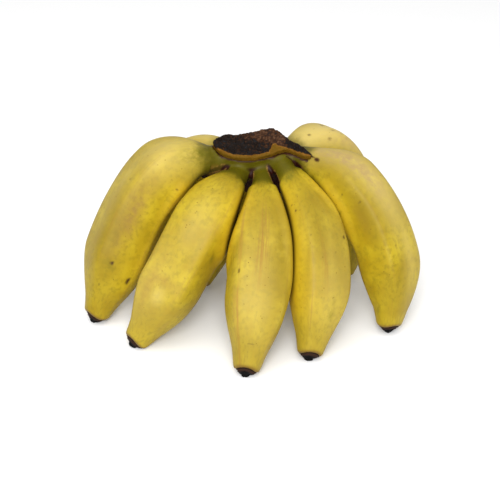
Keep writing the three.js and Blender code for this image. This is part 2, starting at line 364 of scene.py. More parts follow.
def hollow_shade_of(finger, s, apart, points):
    """Painted shade: 1 on the side of a neck that faces another across a gap, with soft borders."""
    centre, others = finger.at, [other for other in fingers.values() if other is not finger]
    gap = np.min([to_skin(centre, other.at, other.radius(other.shares)) for other in others], axis=0)
    gap = np.interp(s, finger.shares, gap - finger.radius(finger.shares))
    facing = smooth((1.3 - (apart - gap)) / 0.7)
    by_crown = smooth((HOLLOW_REACH + 2 - np.linalg.norm(points - CROWN_MIDDLE - FOOTPRINT, axis=-1)) / 4)
    return facing * smooth((gap - 0.2) / 0.8) * smooth((10 - gap) / 4) * by_crown


def looks_of(finger, s, angle, apart, points):
    """What the peel's material needs at places on a finger's skin."""
    # Painted shade with rub stain: maroon along the creases where fingers touch, painted shade in the hollows
    # between necks, and a tan rim at the border of that shade.
    crease_stain_and_shade = np.exp(-(apart / 1.5) ** 2) * smooth((s - 0.11) / 0.04)
    hollow_shade = hollow_shade_of(finger, s, apart, points)
    looks = {
        "neck": 1 - smooth((s - finger.green_to + 0.1) / 0.13),
        "rub_and_shade": np.maximum(0.85 * crease_stain_and_shade, hollow_shade),
        "rim": 4 * hollow_shade * (1 - hollow_shade),
        # painted fill light: a lighter ochre on the sides that face the other fingers
        "painted_fill_light": 0.6 * np.exp(-np.maximum(apart - 1, 0) / 7) * smooth((s - 0.15) / 0.1),
        "edge": finger.edge(angle, 4) * smooth((s - 0.15) / 0.2) * smooth((0.92 - s) / 0.1),
        "end": smooth(1 - (finger.peel_end - s) * finger.length / 2.2)}
    looks.update({mark: finger.mark(mark, s, angle) for mark in MARKS})
    return looks


def neighbours_of(finger):
    others = [other for other in fingers.values() if other is not finger]
    return (
        np.concatenate([other.at for other in others]),
        np.concatenate([other.radius(other.shares) for other in others]))


def swelling_sideways(finger, points, own, wanted, sizes):
    """How far a front finger's side grows towards the front finger beside it, in millimetres."""
    names = [name for name in fingers if name.startswith("front")]
    growth = np.zeros(wanted.shape)
    if finger.name not in names:
        return growth
    out = np.linalg.norm(points - CROWN_MIDDLE - FOOTPRINT, axis=-1)
    where = smooth((out - HOLLOW_REACH + 2) / 4) * smooth((points[..., 2] - 20) / 28)
    place = names.index(finger.name)
    for other in names[max(place - 1, 0):place + 2]:
        if other != finger.name:
            beside = fingers[other]
            gap = to_skin(points, beside.at, beside.radius(beside.shares)) - (wanted - own)
            growth = np.maximum(
                growth, 0.5 * np.maximum(gap - sizes.press_gap, 0) * smooth((9 - gap) / 7) * where)
    return growth


def skin_of(finger, shares, angles, sizes):
    """The skin's points, and how far the neighbours' skins are from each, in millimetres."""
    s, angle = shares[:, None], angles[None, :]
    centre, along, outer, side = finger.places(shares)
    ray = outer[:, None] * np.cos(angle)[..., None] + side[:, None] * np.sin(angle)[..., None]
    own = finger.radius(s)
    wanted = own * finger.section(s, angle)
    body = smooth((s - 0.1) / 0.15) * smooth((finger.peel_end - s) / 0.12)
    seed = 10 + finger.number
    lie = finger.straight(s, angle)
    wanted = wanted + body * sizes.edge_height * finger.edge(angle, 7)
    wanted += body * sizes.unevenness * unevenness(lie * (1, 1, 0.5), 13, seed)
    wanted += body * 0.3 * sizes.unevenness * unevenness(lie * (1, 1, 0.4), 5, seed + 20)
    wanted -= 0.35 * finger.mark("bruise", s, angle) + 0.25 * finger.mark("scar", s, angle)
    wanted += swelling_sideways(finger, centre[:, None] + ray * wanted[..., None], own, wanted, sizes)
    rounded = np.clip(1 - (finger.peel_end - s) * finger.length / sizes.end_rounding, 0, 1)
    wanted -= (wanted - END_RADIUS) * (1 - np.sqrt(1 - rounded ** 2))
    centres, radii = neighbours_of(finger)

    def room(reach, where=slice(None)):
        """How much further the neighbours' skins are than this one."""
        return to_skin(
            middle[where] + ray[where] * reach[..., None], centres, radii) - (reach - middle_own[where])

    ray, wanted = ray.reshape(-1, 3), wanted.ravel()
    middle = np.broadcast_to(centre[:, None], (*s.shape[:1], len(angles), 3)).reshape(-1, 3)
    middle_own = np.broadcast_to(own, (len(shares), len(angles))).ravel()
    high = wanted + sizes.press_softness
    crowded = np.flatnonzero(room(high) < sizes.press_gap)
    low, up = np.zeros(len(crowded)), high[crowded]
    for _ in range(9):
        halfway = (low + up) / 2
        clear = room(halfway, crowded) >= sizes.press_gap
        low, up = np.where(clear, halfway, low), np.where(clear, up, halfway)
    kept = wanted[crowded]
    share = np.clip(0.5 + (low - kept) / (2 * sizes.press_softness), 0, 1)
    reach = wanted.copy()
    reach[crowded] = low + (kept - low) * share - sizes.press_softness * share * (1 - share)
    grid = (len(shares), len(angles))
    points = (middle + ray * reach[:, None]).reshape(*grid, 3)
    late = smooth(1 - (finger.peel_end - s) * finger.length / 9)
    points = points + along[:, None] * (late * arch(angle))[..., None]
    points[..., 2] = np.maximum(points[..., 2], 0.05)
    return points, room(reach).reshape(grid)


def make_mesh(name, points, faces, attributes, material):
    """A piece from points in millimetres, its faces, and a value or a vector for each point."""
    mesh = bpy.data.meshes.new(name)
    mesh.from_pydata((np.asarray(points) * MM).tolist(), [], [tuple(face) for face in faces])
    mesh.validate()
    for label, values in attributes.items():
        kind, slot = ("FLOAT_VECTOR", "vector") if np.ndim(values) == 2 else ("FLOAT", "value")
        mesh.attributes.new(
            label, kind, "POINT").data.foreach_set(slot, np.asarray(values, np.float32).ravel())
    mesh.shade_smooth()
    mesh.materials.append(material)
    piece = bpy.data.objects.new(name, mesh)
    bpy.context.scene.collection.objects.link(piece)
    return piece


def settle(piece, slot, *nodes):
    """The piece stands for its solids and moves with the hand."""
    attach(piece, "root")
    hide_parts(*nodes)


def tube_faces(rings, sides):
    """Quads of a tube, and fans that close it on two more points at its ends."""
    ring, turn = np.meshgrid(np.arange(rings - 1), np.arange(sides), indexing="ij")
    after = (turn + 1) % sides
    quads = np.stack(
        [ring * sides + turn, ring * sides + after, (ring + 1) * sides + after, (ring + 1) * sides + turn],
        axis=-1)
    faces = quads.reshape(-1, 4).tolist()
    first, last = rings * sides, rings * sides + 1
    for j in range(sides):
        k = (j + 1) % sides
        faces.append((k, j, first))
        faces.append(((rings - 1) * sides + j, (rings - 1) * sides + k, last))
    return faces


def stalk_outline():
    """A closed smooth line through the stalk's corners."""
    corners = np.array(STALK_CORNERS, float)
    before, after, last = np.roll(corners, 1, 0), np.roll(corners, -1, 0), np.roll(corners, -2, 0)
    t = np.linspace(0, 1, 8, endpoint=False)[None, :, None]
    a, b, c, d = (v[:, None] for v in (before, corners, after, last))
    line = 0.5 * (
        2 * b + (c - a) * t + (2 * a - 5 * b + 4 * c - d) * t ** 2
        + (3 * b - a - 3 * c + d) * t ** 3)
    return line.reshape(-1, 2)


def inside_outline(places):
    """Distance to the stalk's outline, less than zero inside it."""
    line = stalk_outline()
    low, high, step = line.min(0) - 12, line.max(0) + 12, 0.5
    across = [np.arange(low[k], high[k], step) for k in range(2)]
    grid = np.stack(np.meshgrid(*across, indexing="ij"), axis=-1)
    nearest, crossings = np.full(grid.shape[:2], 1e9), np.zeros(grid.shape[:2])
    for a, b in zip(line, np.roll(line, -1, 0)):
        edge = b - a
        t = np.clip(((grid - a) @ edge) / (edge @ edge), 0, 1)
        nearest = np.minimum(nearest, np.linalg.norm(grid - a - t[..., None] * edge, axis=-1))
        spans = (a[1] > grid[..., 1]) != (b[1] > grid[..., 1])
        slope = edge[0] / edge[1] if edge[1] else 0.0
        crossings += spans & (grid[..., 0] < a[0] + (grid[..., 1] - a[1]) * slope)
    field = np.where(crossings % 2 == 1, -nearest, nearest)
    place = np.clip((places - low) / step, 0, np.array(field.shape) - 1.001)
    cell = place.astype(int)
    u, v = np.moveaxis(place - cell, -1, 0)
    i, j = np.moveaxis(cell, -1, 0)
    return (
        field[i, j] * (1 - u) * (1 - v) + field[i + 1, j] * u * (1 - v)
        + field[i, j + 1] * (1 - u) * v + field[i + 1, j + 1] * u * v)


def bare_patch(places):
    """1 where the crust fell off the slice's top and its front rim, and shows the flesh."""
    (u0, v0), (u1, v1), (u2, v2) = PATCH
    sides = []
    for start, end in (((u0, v0), (u1, v1)), ((u1, v1), (u2, v2))):
        du, dv = end[0] - start[0], end[1] - start[1]
        sides.append(((places[..., 0] - start[0]) * dv - (places[..., 1] - start[1]) * du) / np.hypot(du, dv))
    ragged = 0.9 * unevenness(places, 2.8, 8) + 0.5 * unevenness(places, 1.2, 9)
    u, v = places[..., 0], places[..., 1]
    from_edge = -inside_outline(places[..., :2])
    in_front = smooth((-v - 2.5) / 3) * smooth((14 - u) / 3)
    front_rim = smooth((1.1 + 0.6 * in_front + 0.5 * ragged - from_edge) / 0.6) * in_front
    return np.maximum(smooth((np.minimum(*sides) + ragged) / 0.7), front_rim)


def slice_directions():
    """Up the slice's slope, and square to the slice."""
    tilt = np.radians(STALK_TILT)
    return np.array([0, np.cos(tilt), np.sin(tilt)]), np.array([0, -np.sin(tilt), np.cos(tilt)])


def torn_fibres(places):
    """Crests of torn fibre on the slice, up to 1.6 high."""
    return 1 - 2 * np.abs(unevenness(places, 2.4, 2)) + 0.6 - 1.2 * np.abs(unevenness(places, 1.3, 3))


def on_slice(points):
    """Places along the slice, up its slope and above its underside."""
    along, up = slice_directions()
    away = points - STALK_AT - FOOTPRINT
    return np.stack([away[..., 0], away @ along, away @ up], axis=-1)


def off_slice(places):
    """The reverse of on_slice."""
    along, up = slice_directions()
    across = np.array([1.0, 0, 0])
    return places[..., :1] * across + places[..., 1:2] * along + places[..., 2:] * up + STALK_AT + FOOTPRINT


def melt(a, b, softness):
    """The union of two fields, with a fillet of about `softness`."""
    near = np.maximum(softness - np.abs(a - b), 0) / np.maximum(softness, 1e-6)
    return np.minimum(a, b) - near ** 2 * softness / 4


def skin_over(field, low, step):
    """A closed mesh of quads over the zero level of a field."""
    inside = field < 0
    cells = tuple(n - 1 for n in field.shape)
    total, number = np.zeros(cells + (3,)), np.zeros(cells)
    for axis in range(3):
        for offset in product((0, 1), repeat=2):
            start = list(offset)
            start.insert(axis, 0)
            end = list(start)
            end[axis] = 1
            a = field[tuple(slice(s, s + n) for s, n in zip(start, cells))]
            b = field[tuple(slice(s, s + n) for s, n in zip(end, cells))]
            cut = (a < 0) != (b < 0)
            share = np.where(cut, a / np.where(cut, a - b, 1), 0)
            for k in range(3):
                total[..., k] += cut * (start[k] + (share if k == axis else 0))
            number += cut
    crossed = number > 0
    index = np.full(cells, -1)
    index[crossed] = np.arange(crossed.sum())
    points = low + step * (np.argwhere(crossed) + total[crossed] / number[crossed][:, None])
    faces = []
    for axis in range(3):
        u, v = [k for k in range(3) if k != axis]
        first = inside[tuple(slice(0, -1) if k == axis else slice(1, -1) for k in range(3))]
        second = inside[tuple(slice(1, None) if k == axis else slice(1, -1) for k in range(3))]
        for way in (True, False):
            spots = np.argwhere((first != second) & (first == way))
            spots[:, u] += 1
            spots[:, v] += 1
            ring = []
            for du, dv in ((-1, -1), (0, -1), (0, 0), (-1, 0)):
                spot = spots.copy()
                spot[:, u] += du
                spot[:, v] += dv
                ring.append(index[tuple(spot.T)])
            quads = np.stack(ring, axis=1)
            forward = way if axis != 1 else not way
            faces.append(quads if forward else quads[:, ::-1])
    return points, np.concatenate(faces).tolist()


def grid_over(low, high, step):
    across = [np.arange(low[k], high[k] + step, step) for k in range(3)]
    return np.stack(np.meshgrid(*across, indexing="ij"), axis=-1)


def neck_field(finger, points, sizes):
    """Distance to a neck, which ends inside its finger, and the share and the angle there."""
    s = np.linspace(0, NECK_END, 50)
    centre, along, outer, side = finger.places(s)
    lift = sizes.collar - (sizes.collar + 0.5) * smooth((s - 0.06) / 0.09)
    radius = finger.radius(s)
    steep = np.hypot(1, np.gradient(radius, s * finger.length))
    field, share = np.full(points.shape[:-1], 8.0), np.zeros(points.shape[:-1])
    turn = np.zeros(points.shape[:-1])
    close = np.all((points > centre.min(0) - 22) & (points < centre.max(0) + 22), axis=-1)
    some = points[close]
    square = (some ** 2).sum(1)[:, None] + (centre ** 2).sum(1) - 2 * some @ centre.T
    nearest = square.argmin(1)
    away = some - centre[nearest]
    angle = np.arctan2((away * side[nearest]).sum(1), (away * outer[nearest]).sum(1))
    reach = radius[nearest] * finger.section(s[nearest], angle)
    past = np.where(nearest == len(s) - 1, (away * along[nearest]).sum(1), -8.0)
    out = (np.linalg.norm(away, axis=1) - reach) / steep[nearest] - lift[nearest]
    field[close] = np.minimum(np.maximum(out, past), 8.0)
    share[close], turn[close] = s[nearest], angle
    return field, share, turn


def whole_fields(points):
    """Distance to each finger, from its root to about its middle."""
    return np.stack([
        to_skin(points, finger.at[:30], finger.radius(finger.shares[:30])) for finger in fingers.values()])


def cushion_field(points, middle, half):
    away = (points - middle - FOOTPRINT) / half
    k0, k1 = np.linalg.norm(away, axis=-1), np.linalg.norm(away / half, axis=-1)
    return k0 * (k0 - 1) / np.maximum(k1, 1e-6)


def fold_marks(points, kind):
    """How strongly a kind of mark fills the folds between the necks, from 0 to 1."""
    cover = np.zeros(len(points))
    for name, start, end, radius in FOLDS:
        if name == kind:
            start, way = np.array(start) + FOOTPRINT, np.array(end) - np.array(start)
            share = np.clip((points - start) @ way / (way @ way), 0, 1)
            far = np.linalg.norm(points - start - share[:, None] * way, axis=1)
            cover = np.maximum(cover, smooth((radius - far) / 0.6 + 0.5))
    return cover


def crown_field(points, sizes):
    """Distance to the crown: the cushion, the webs, the pedestal and nine necks, melted together."""
    cushion = cushion_field(points, CUSHION_AT, CUSHION_HALF)
    for middle, half, fillet in WEBS:
        cushion = melt(cushion, cushion_field(points, np.array(middle), np.array(half)), fillet)
    place = on_slice(points)
    height = place[..., 2]
    flare = 0.10 * np.clip(-height, 0, PEDESTAL_DEPTH)
    wall = inside_outline(place[..., :2]) + 0.3 - flare
    pedestal = np.maximum(wall, -(height + PEDESTAL_DEPTH))
    body = melt(cushion, pedestal, 5)
    whole = whole_fields(points)
    for i, finger in enumerate(fingers.values()):
        field, share, _ = neck_field(finger, points, sizes)
        others = np.delete(whole, i, axis=0).min(0)
        apart = -3.5 + 3.65 * smooth((share - sizes.web_from) / 0.05)
        kept = -melt(-field, -((whole[i] - others) / 2 + apart), 1.4)
        body = melt(body, kept, 4.5 * (1 - smooth((share - 0.05) / 0.08)) + 0.3)
    body = body + 0.25 * unevenness(points, 6, 3) * smooth((0.5 - body) / 1)
    slice_room = np.maximum(inside_outline(place[..., :2]) - JOINT_GAP, -(height + JOINT_GAP))
    return -melt(-body, slice_room, 0.9)


def linear(value):
    """The linear colour, with alpha, of an sRGB colour given as a hex string."""
    parts = [int(value[i:i + 2], 16) / 255 for i in (0, 2, 4)]
    return (*(c / 12.92 if c <= 0.04045 else ((c + 0.055) / 1.055) ** 2.4 for c in parts), 1.0)


def add(tree, kind, settings=None, links=None):
    """Adds a node, with settings of its own or of its sockets, and joins its inputs."""
    node = tree.nodes.new(kind)
    for key, value in (settings or {}).items():
        if isinstance(key, int) or key in node.inputs:
            node.inputs[key].default_value = value
        else:
            setattr(node, key, value)
    for key, source in (links or {}).items():
        tree.links.new(source, node.inputs[key])
    return node


def new_material(name):
    material = bpy.data.materials.new(name)
    material.use_nodes = True
    material.node_tree.nodes.clear()
    return material, material.node_tree


def banana_peel(colours):
    """Ripe banana peel: a thin waxy skin over whitish flesh, grown and not made. The wax gives broad soft
    glints, the flesh a little light from within, and age the marks. Painted sheen, painted fill light and
    painted shade are mixed into the colour too."""
    material, tree = new_material("ripe banana peel")
    place = add(tree, "ShaderNodeTexCoord").outputs["Object"]
    straight = add(tree, "ShaderNodeAttribute", {"attribute_name": "straight"}).outputs["Vector"]
    marks = {
        name: add(tree, "ShaderNodeAttribute", {"attribute_name": name}).outputs["Fac"]
        for name in ("neck", "rub_and_shade", "rim", "edge", "end", "painted_fill_light", *MARKS)}

    # Patches of deeper and lighter yellow, 18 mm apart.
    patches = add(
        tree, "ShaderNodeTexNoise", {"Scale": 1 / 0.018, "Detail": 3, "Roughness": 0.6}, {"Vector": place})
    spread = add(
        tree, "ShaderNodeMapRange", {"From Min": 0.35, "From Max": 0.65}, {"Value": patches.outputs["Fac"]})
    colour = add(
        tree, "ShaderNodeMix", {"data_type": "RGBA", FIRST: colours.ripe, SECOND: colours.deep},
        {FACTOR: spread.outputs["Result"]})

    # Fibres run the length of the finger: 1.1 mm across and 22 mm long.
    laid = add(tree, "ShaderNodeMapping", {"Scale": (1 / 1.1, 1 / 1.1, 1 / 22)}, {"Vector": straight})
    fibres = add(
        tree, "ShaderNodeTexNoise", {"Scale": 1, "Detail": 3, "Roughness": 0.55},
        {"Vector": laid.outputs["Vector"]})
    lines = add(
        tree, "ShaderNodeMapRange", {"From Min": 0.5, "From Max": 0.75, "To Max": 0.3},
        {"Value": fibres.outputs["Fac"]})
    bare = add(
        tree, "ShaderNodeMath", {"operation": "SUBTRACT", 0: 1.0, "use_clamp": True}, {1: marks["neck"]})
    lined = add(
        tree, "ShaderNodeMath", {"operation": "MULTIPLY"}, {0: lines.outputs["Result"], 1: bare.outputs[0]})
    colour = add(
        tree, "ShaderNodeMix", {"data_type": "RGBA", SECOND: colours.fibre},
        {FACTOR: lined.outputs[0], FIRST: colour.outputs[MIXED]})

    # Small mottles, 2.5 mm apart.
    mottle = add(tree, "ShaderNodeTexNoise", {"Scale": 1 / 2.5, "Detail": 2}, {"Vector": straight})
    flecked = add(
        tree, "ShaderNodeMapRange", {"From Min": 0.48, "From Max": 0.68, "To Max": 0.65},
        {"Value": mottle.outputs["Fac"]})
    colour = add(
        tree, "ShaderNodeMix", {"data_type": "RGBA", SECOND: colours.mottle},
        {FACTOR: flecked.outputs["Result"], FIRST: colour.outputs[MIXED]})

    # Painted fill light: the sides that face the other fingers are painted a warmer and lighter yellow, to
    # lift the shade there.
    colour = add(
        tree, "ShaderNodeMix", {"data_type": "RGBA", SECOND: colours.ochre_fill_light},
        {FACTOR: marks["painted_fill_light"], FIRST: colour.outputs[MIXED]})
    # Pale patches: some are bleached peel, most are a painted sheen where the light falls brightest.
    colour = add(
        tree, "ShaderNodeMix", {"data_type": "RGBA", SECOND: colours.pale_and_sheen},
        {FACTOR: marks["pale_and_sheen"], FIRST: colour.outputs[MIXED]})

    # Lengthwise edges are rubbed a little brown, unevenly.
    worn = add(
        tree, "ShaderNodeMapRange", {"From Min": 0.45, "From Max": 0.7, "To Max": 0.45},
        {"Value": fibres.outputs["Fac"]})
    edged = add(
        tree, "ShaderNodeMath", {"operation": "MULTIPLY"}, {0: worn.outputs["Result"], 1: marks["edge"]})
    colour = add(
        tree, "ShaderNodeMix", {"data_type": "RGBA", SECOND: colours.bruise},
        {FACTOR: edged.outputs[0], FIRST: colour.outputs[MIXED]})

    # Bruises and grazes are cloudy, 4 mm to a cloud; streaks follow the fibres. Broad patches of painted
    # shade darken the yellow on shaded sides and near the ends.
    cloud = add(
        tree, "ShaderNodeTexNoise", {"Scale": 1 / 4, "Detail": 4, "Roughness": 0.65}, {"Vector": straight})
    for name, grain, low, high in (
            ("bruise", cloud, 0.15, 0.6), ("graze", cloud, 0.36, 0.56), ("streak", fibres, 0.4, 0.65),
            ("green", cloud, 0.35, 0.6), ("painted_shade", patches, 0.1, 0.4)):
        broken = add(
            tree, "ShaderNodeMapRange", {"From Min": low, "From Max": high}, {"Value": grain.outputs["Fac"]})
        cover = add(
            tree, "ShaderNodeMath", {"operation": "MULTIPLY"}, {0: broken.outputs["Result"], 1: marks[name]})
        colour = add(
            tree, "ShaderNodeMix", {"data_type": "RGBA", SECOND: getattr(colours, name)},
            {FACTOR: cover.outputs[0], FIRST: colour.outputs[MIXED]})

    # Green at the neck, with a ragged edge.
    rag = add(
        tree, "ShaderNodeTexNoise", {"Scale": 1 / 0.006, "Detail": 4, "Roughness": 0.6}, {"Vector": place})
    shift = add(
        tree, "ShaderNodeMath", {"operation": "MULTIPLY_ADD", 1: 0.8, 2: -0.4}, {0: rag.outputs["Fac"]})
    moved = add(tree, "ShaderNodeMath", {"operation": "ADD"}, {0: marks["neck"], 1: shift.outputs[0]})
    greened = add(
        tree, "ShaderNodeMapRange",
        {"From Min": 0.15, "From Max": 0.95, "To Max": 0.95, "interpolation_type": "SMOOTHSTEP"},
        {"Value": moved.outputs[0]})
    neck = add(
        tree, "ShaderNodeMix", {"data_type": "RGBA", FIRST: colours.neck, SECOND: colours.neck_light},
        {FACTOR: rag.outputs["Fac"]})
    colour = add(
        tree, "ShaderNodeMix", {"data_type": "RGBA"},
        {FACTOR: greened.outputs["Result"], FIRST: colour.outputs[MIXED], SECOND: neck.outputs[MIXED]})

    # Specks where the peel breathes: about one place in five of a 2.4 mm scatter, each 0.5 mm wide.
    scatter = add(tree, "ShaderNodeTexVoronoi", {"Scale": 1 / 2.4, "Randomness": 1.0}, {"Vector": straight})
    pick = add(tree, "ShaderNodeSeparateColor", {}, {"Color": scatter.outputs["Color"]})
    chosen = add(
        tree, "ShaderNodeMapRange", {"From Min": 0.72, "From Max": 0.92}, {"Value": pick.outputs["Red"]})
    dot = add(
        tree, "ShaderNodeMapRange", {"From Min": 0.16, "From Max": 0.07},
        {"Value": scatter.outputs["Distance"]})
    speck = add(
        tree, "ShaderNodeMath", {"operation": "MULTIPLY"},
        {0: dot.outputs["Result"], 1: chosen.outputs["Result"]})
    colour = add(
        tree, "ShaderNodeMix", {"data_type": "RGBA", SECOND: colours.speck},
        {FACTOR: speck.outputs[0], FIRST: colour.outputs[MIXED]})

    # Where fingers rub, the peel goes maroon, with painted shade along the creases where they touch and in
    # the hollows between the necks; a neck's flank gets painted shade with rub brown; scars and the blunt end
    # have dried to dark brown.
    for name in ("flank_brown_and_shade", "end", "rub_and_shade", "rim", "scar"):
        colour = add(
            tree, "ShaderNodeMix", {"data_type": "RGBA", SECOND: getattr(colours, name)},
            {FACTOR: marks[name], FIRST: colour.outputs[MIXED]})

    gloss = add(
        tree, "ShaderNodeMapRange", {"To Min": 0.40, "To Max": 0.56}, {"Value": cloud.outputs["Fac"]})
    # Pores too fine to show at 0.1 mm are drawn 0.6 mm apart.
    grain = add(tree, "ShaderNodeTexNoise", {"Scale": 1 / 0.6, "Detail": 2}, {"Vector": straight})
    raised = add(
        tree, "ShaderNodeMath", {"operation": "MULTIPLY_ADD", 1: 0.6},
        {0: fibres.outputs["Fac"], 2: grain.outputs["Fac"]})
    bump = add(
        tree, "ShaderNodeBump", {"Strength": 0.18, "Distance": 0.0002}, {"Height": raised.outputs[0]})
    shader = add(
        tree, "ShaderNodeBsdfPrincipled",
        {"IOR": 1.42, "Subsurface Weight": 0.08, "Subsurface Radius": (1.0, 0.6, 0.2),
            "Subsurface Scale": 0.0025,
         "Specular IOR Level": 0.2},
        {"Base Color": colour.outputs[MIXED], "Roughness": gloss.outputs["Result"],
            "Normal": bump.outputs["Normal"]})
    add(tree, "ShaderNodeOutputMaterial", {}, {"Surface": shader.outputs["BSDF"]})
    return material


def dried_stalk(colours):
    """The cut face of a banana stalk: soft fibre that blackened and shrank in the air. It is rough and matt,
    with rust-brown ridges, a painted highlight on its highest fibres and painted grey glints in flecks, and
    its side is still tan flesh."""
    material, tree = new_material("dried banana stalk")
    place = add(tree, "ShaderNodeTexCoord").outputs["Object"]
    flesh, raised, rim, brown = (
        add(tree, "ShaderNodeAttribute", {"attribute_name": name}).outputs["Fac"]
        for name in ("flesh", "raised", "rim", "brown"))
    # Fibre ends, 1.2 mm apart.
    ends = add(tree, "ShaderNodeTexVoronoi", {"Scale": 1 / 0.0012}, {"Vector": place})
    fine = add(
        tree, "ShaderNodeTexNoise", {"Scale": 1 / 0.0016, "Detail": 5, "Roughness": 0.7}, {"Vector": place})
    # Rust flecks on the charcoal, and charcoal flecks on the rusty part.
    turned = add(
        tree, "ShaderNodeMath", {"operation": "MULTIPLY_ADD", 1: 0.18}, {0: brown, 2: fine.outputs["Fac"]})
    high = add(
        tree, "ShaderNodeMath", {"operation": "MULTIPLY_ADD", 1: 0.10}, {0: raised, 2: turned.outputs[0]})
    rusty = add(tree, "ShaderNodeMapRange", {"From Min": 0.59, "From Max": 0.72}, {"Value": high.outputs[0]})
    dark = add(
        tree, "ShaderNodeMix", {"data_type": "RGBA", FIRST: colours.char, SECOND: colours.rust},
        {FACTOR: rusty.outputs["Result"]})
    # Painted highlight: the highest fibres are painted a light brown glint.
    glint_cover = add(tree, "ShaderNodeMapRange", {"From Min": 0.72, "From Max": 0.9}, {"Value": high.outputs[0]})
    dark = add(
        tree, "ShaderNodeMix", {"data_type": "RGBA", SECOND: colours.brown_glint},
        {FACTOR: glint_cover.outputs["Result"], FIRST: dark.outputs[MIXED]})
    # Painted reflection: small grey glints in flecks over the dark cut.
    grey_glint = add(
        tree, "ShaderNodeMapRange", {"From Min": 0.44, "From Max": 0.34, "To Max": 0.8},
        {"Value": fine.outputs["Fac"]})
    dark = add(
        tree, "ShaderNodeMix", {"data_type": "RGBA", SECOND: colours.grey_glint},
        {FACTOR: grey_glint.outputs["Result"], FIRST: dark.outputs[MIXED]})
    tan = add(
        tree, "ShaderNodeMix", {"data_type": "RGBA", FIRST: colours.flesh, SECOND: colours.flesh_dark},
        {FACTOR: fine.outputs["Fac"]})
    tan = add(
        tree, "ShaderNodeMix", {"data_type": "RGBA", SECOND: colours.flesh_edge},
        {FACTOR: rim, FIRST: tan.outputs[MIXED]})
    colour = add(
        tree, "ShaderNodeMix", {"data_type": "RGBA"},
        {FACTOR: flesh, FIRST: dark.outputs[MIXED], SECOND: tan.outputs[MIXED]})
    height = add(
        tree, "ShaderNodeMath", {"operation": "MULTIPLY_ADD", 1: 0.8},
        {0: ends.outputs["Distance"], 2: fine.outputs["Fac"]})
    bump = add(tree, "ShaderNodeBump", {"Strength": 0.6, "Distance": 0.0005}, {"Height": height.outputs[0]})
    shine = add(tree, "ShaderNodeMapRange", {"To Min": 0.75, "To Max": 0.5}, {"Value": fine.outputs["Fac"]})
    shader = add(
        tree, "ShaderNodeBsdfPrincipled", {"IOR": 1.45, "Specular IOR Level": 0.1},
        {"Base Color": colour.outputs[MIXED], "Roughness": shine.outputs["Result"],
            "Normal": bump.outputs["Normal"]})
    add(tree, "ShaderNodeOutputMaterial", {}, {"Surface": shader.outputs["BSDF"]})
    return material


def dried_flower(colours):
    """The dried flower end of a banana: shrivelled, papery and nearly black.
    A maroon lip holds a browner ring, and the middle is rough."""
    material, tree = new_material("dried flower end")
    place = add(tree, "ShaderNodeTexCoord").outputs["Object"]
    depth = add(tree, "ShaderNodeAttribute", {"attribute_name": "depth"}).outputs["Fac"]
    fine = add(
        tree, "ShaderNodeTexNoise", {"Scale": 1 / 0.0012, "Detail": 4, "Roughness": 0.7}, {"Vector": place})
    bands = add(tree, "ShaderNodeValToRGB", {}, {"Fac": depth})
    ramp = bands.color_ramp
    ramp.elements[0].color, ramp.elements[1].color = colours.lip, colours.core
    ramp.elements[0].position, ramp.elements[1].position = 0.16, 0.52
    for position in (0.23, 0.34):
        ramp.elements.new(position).color = colours.ring
    colour = add(
        tree, "ShaderNodeMix", {"data_type": "RGBA", "blend_type": "MULTIPLY", FACTOR: 0.6},
        {FIRST: bands.outputs["Color"], SECOND: fine.outputs["Color"]})
    bump = add(tree, "ShaderNodeBump", {"Strength": 0.5, "Distance": 0.0004}, {"Height": fine.outputs["Fac"]})
    shader = add(
        tree, "ShaderNodeBsdfPrincipled", {"IOR": 1.45, "Roughness": 0.7, "Specular IOR Level": 0.12},
        {"Base Color": colour.outputs[MIXED], "Normal": bump.outputs["Normal"]})
    add(tree, "ShaderNodeOutputMaterial", {}, {"Surface": shader.outputs["BSDF"]})
    return material


def painted_floor(colour):
    """A matt white painted board: flat and even, with no glints."""
    material, tree = new_material("matt white board")
    shader = add(tree, "ShaderNodeBsdfPrincipled", {"Base Color": (*colour, 1.0), "Roughness": 0.9})
    add(tree, "ShaderNodeOutputMaterial", {}, {"Surface": shader.outputs["BSDF"]})
    return material


def colour(name, value, description):
    """A colour that a user may change, from an sRGB hex string."""
    return FloatVectorProperty(
        name=name, description=description, subtype="COLOR", size=4, min=0, max=1, default=linear(value))


